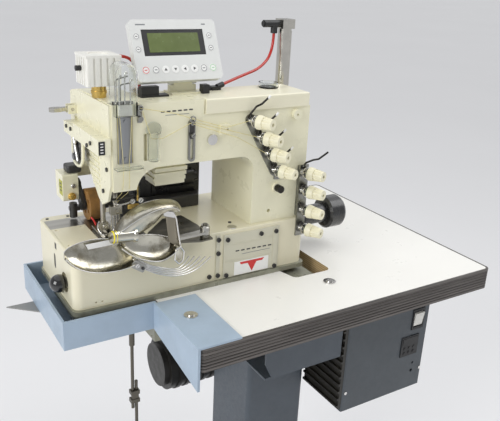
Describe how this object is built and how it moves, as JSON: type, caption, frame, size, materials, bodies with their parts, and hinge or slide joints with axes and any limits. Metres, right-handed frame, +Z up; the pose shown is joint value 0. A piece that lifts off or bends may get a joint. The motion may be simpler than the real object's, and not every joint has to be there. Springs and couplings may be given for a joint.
{
  "type": "serger overlock machine",
  "caption": "Flat-bed serger on a steel stand with worktop, tape folder, thread tension knobs, tilting display, air presser lift, belt drive and treadle",
  "frame": {"origin": "On the floor, under the middle of the whole object's box", "axes": "+Z up; the operator stands at -Y and looks along +Y; +X is the operator's right, where the handwheel is"},
  "size_m": [0.812, 0.544, 1.2117],
  "materials": {
    "air_fittings": "moulded",
    "arm_casting": "cream enamel",
    "ball_knob": "polished",
    "bed_casting": "enamel",
    "bed_covers": "enamel",
    "bright_bolts": "plated",
    "clear_guards": "clear plastic",
    "control_box": "powder coat",
    "control_trim": "black fins, black keypad",
    "dark_screws": "black oxide",
    "display_housing": "moulded",
    "display_keys": "membrane",
    "display_screen": "green display window",
    "display_stem": "enamel",
    "drive_belt": "matt",
    "edge_band": "ribbed extrusion",
    "face_cover": "cream enamel",
    "folder": "polished sheet steel",
    "folder_base": "oiled plate",
    "handwheel": "black wheel on a bright hub",
    "head_tray": "powder coat",
    "hose_long": "polyurethane hose",
    "hose_short": "polyurethane hose",
    "levelling_pads": "matt",
    "lift_coupler": "turned",
    "lift_cylinder": "white paint",
    "lift_lever": "enamel",
    "motor_pulley": "machined",
    "name_panel": "plate",
    "needle_bar": "polished",
    "needle_plate": "ground",
    "oil_pan": "die cast",
    "power_switch": "moulded",
    "presser_bar": "polished",
    "pull_rod": "plain rod",
    "puller_arm": "black oxide",
    "puller_bracket": "cream enamel",
    "puller_drive": "black paint, red air pipe",
    "puller_roller": "brown roller",
    "rear_cylinder": "polished",
    "release_lever": "polished",
    "servo_motor": "black paint",
    "stand_column": "powder coat",
    "stand_feet": "powder coat",
    "tabletop": "white laminate on plywood",
    "take_up_plate": "brushed",
    "tension_knob_1": "moulded",
    "tension_knob_2": "moulded",
    "tension_knob_3": "moulded",
    "tension_knob_4": "moulded",
    "tension_knob_5": "moulded",
    "tension_knob_6": "moulded",
    "tension_knob_7": "moulded",
    "tension_knob_8": "moulded",
    "tension_plates": "dark",
    "tension_posts": "polished",
    "thread_guides": "polished",
    "threads": "cotton thread",
    "top_cover": "moulded shell",
    "treadle": "powder coat"
  },
  "bodies": {
    "machine": {"stand_feet": "stand_feet", "levelling_pads": "levelling_pads", "stand_column": "stand_column", "tabletop": "tabletop", "edge_band": "edge_band", "head_tray": "head_tray", "bright_bolts": "bright_bolts", "oil_pan": "oil_pan", "control_box": "control_box", "control_trim": "control_trim", "puller_drive": "puller_drive", "servo_motor": "servo_motor", "drive_belt": "drive_belt", "bed_casting": "bed_casting", "bed_covers": "bed_covers", "needle_plate": "needle_plate", "name_panel": "name_panel", "dark_screws": "dark_screws", "arm_casting": "arm_casting", "top_cover": "top_cover", "face_cover": "face_cover", "take_up_plate": "take_up_plate", "clear_guards": "clear_guards", "thread_guides": "thread_guides", "tension_plates": "tension_plates", "tension_posts": "tension_posts", "threads": "threads", "display_stem": "display_stem", "rear_cylinder": "rear_cylinder", "air_fittings": "air_fittings", "hose_long": "hose_long", "hose_short": "hose_short", "lift_cylinder": "lift_cylinder", "lift_coupler": "lift_coupler", "puller_bracket": "puller_bracket", "folder_base": "folder_base"},
    "handwheel": {"handwheel": "handwheel"},
    "motor_pulley": {"motor_pulley": "motor_pulley"},
    "needle": {"needle_bar": "needle_bar"},
    "presser": {"presser_bar": "presser_bar"},
    "display": {"display_housing": "display_housing", "display_screen": "display_screen", "display_keys": "display_keys"},
    "lift_lever": {"lift_lever": "lift_lever"},
    "release_lever": {"release_lever": "release_lever"},
    "ball_knob": {"ball_knob": "ball_knob"},
    "puller_arm": {"puller_arm": "puller_arm"},
    "puller_roller": {"puller_roller": "puller_roller"},
    "folder": {"folder": "folder"},
    "power_switch": {"power_switch": "power_switch"},
    "treadle": {"treadle": "treadle"},
    "pull_rod": {"pull_rod": "pull_rod"},
    "knob_1": {"tension_knob_1": "tension_knob_1"},
    "knob_2": {"tension_knob_2": "tension_knob_2"},
    "knob_3": {"tension_knob_3": "tension_knob_3"},
    "knob_4": {"tension_knob_4": "tension_knob_4"},
    "knob_5": {"tension_knob_5": "tension_knob_5"},
    "knob_6": {"tension_knob_6": "tension_knob_6"},
    "knob_7": {"tension_knob_7": "tension_knob_7"},
    "knob_8": {"tension_knob_8": "tension_knob_8"}
  },
  "joints": [
    {"name": "handwheel_spin", "type": "hinge", "parent": "machine", "child": "handwheel", "pos_m": [0, -0.037, 0.848], "axis": [1, 0, 0], "continuous": true},
    {"name": "motor_spin", "type": "hinge", "parent": "machine", "child": "motor_pulley", "pos_m": [0, 0.138, 0.48], "axis": [1, 0, 0], "continuous": true},
    {"name": "needle_stroke", "type": "slide", "parent": "machine", "child": "needle", "axis": [0, 0, 1], "range_m": [-0.028, 0]},
    {"name": "presser_lift", "type": "slide", "parent": "machine", "child": "presser", "axis": [0, 0, 1], "range_m": [0, 0.007]},
    {"name": "tension_turn_1", "type": "hinge", "parent": "machine", "child": "knob_1", "pos_m": [-0.0319, -0.095, 1.06], "axis": [0.3746, -0.9272, 0], "continuous": true},
    {"name": "tension_turn_2", "type": "hinge", "parent": "machine", "child": "knob_2", "pos_m": [-0.0149, -0.095, 1.031], "axis": [0.3746, -0.9272, 0], "continuous": true},
    {"name": "tension_turn_3", "type": "hinge", "parent": "machine", "child": "knob_3", "pos_m": [0.0021, -0.095, 1.002], "axis": [0.3746, -0.9272, 0], "continuous": true},
    {"name": "tension_turn_4", "type": "hinge", "parent": "machine", "child": "knob_4", "pos_m": [0.0191, -0.095, 0.9705], "axis": [0.3746, -0.9272, 0], "continuous": true},
    {"name": "tension_turn_5", "type": "hinge", "parent": "machine", "child": "knob_5", "pos_m": [0.073, -0.103, 0.9625], "axis": [0.3746, -0.9272, 0], "continuous": true},
    {"name": "tension_turn_6", "type": "hinge", "parent": "machine", "child": "knob_6", "pos_m": [0.076, -0.103, 0.9285], "axis": [0.3746, -0.9272, 0], "continuous": true},
    {"name": "tension_turn_7", "type": "hinge", "parent": "machine", "child": "knob_7", "pos_m": [0.077, -0.103, 0.8925], "axis": [0.3746, -0.9272, 0], "continuous": true},
    {"name": "tension_turn_8", "type": "hinge", "parent": "machine", "child": "knob_8", "pos_m": [0.078, -0.103, 0.857], "axis": [0.3746, -0.9272, 0], "continuous": true},
    {"name": "display_tilt", "type": "hinge", "parent": "machine", "child": "display", "pos_m": [0, -0.033, 1.12], "axis": [1, 0, 0], "range_deg": [-14, 8]},
    {"name": "lift_lever_turn", "type": "hinge", "parent": "machine", "child": "lift_lever", "pos_m": [-0.278, 0, 1.065], "axis": [0, 1, 0], "range_deg": [0, 45]},
    {"name": "release_lever_swing", "type": "hinge", "parent": "machine", "child": "release_lever", "pos_m": [0, 0.061, 1.008], "axis": [1, 0, 0], "range_deg": [-8, 8]},
    {"name": "looper_knob_pull", "type": "slide", "parent": "machine", "child": "ball_knob", "axis": [-1, 0, 0], "range_m": [0, 0.01]},
    {"name": "puller_swing", "type": "hinge", "parent": "machine", "child": "puller_arm", "pos_m": [0, 0.07, 0.935], "axis": [1, 0, 0], "range_deg": [-18, 0]},
    {"name": "puller_spin", "type": "hinge", "parent": "puller_arm", "child": "puller_roller", "pos_m": [0, 0.045, 0.904], "axis": [1, 0, 0], "continuous": true},
    {"name": "folder_swing", "type": "hinge", "parent": "machine", "child": "folder", "pos_m": [-0.122, -0.113, 0], "axis": [0, 0, 1], "range_deg": [0, 35]},
    {"name": "power_rock", "type": "hinge", "parent": "machine", "child": "power_switch", "pos_m": [0, -0.209, 0.67], "axis": [1, 0, 0], "range_deg": [-16, 0]},
    {"name": "treadle_press", "type": "hinge", "parent": "machine", "child": "treadle", "pos_m": [0, 0.1, 0.13], "axis": [1, 0, 0], "range_deg": [0, 10], "stiffness_Nm_per_rad": 20, "springref_deg": -17.19},
    {"name": "pull_rod_drop", "type": "slide", "parent": "machine", "child": "pull_rod", "axis": [0, 0, -1], "range_m": [0, 0.0188]}
  ],
  "couplings": [
    {"joint": "motor_spin", "follows": "handwheel_spin", "ratio": 0.7898},
    {"joint": "pull_rod_drop", "follows": "treadle_press", "m_per_rad": 0.107}
  ]
}
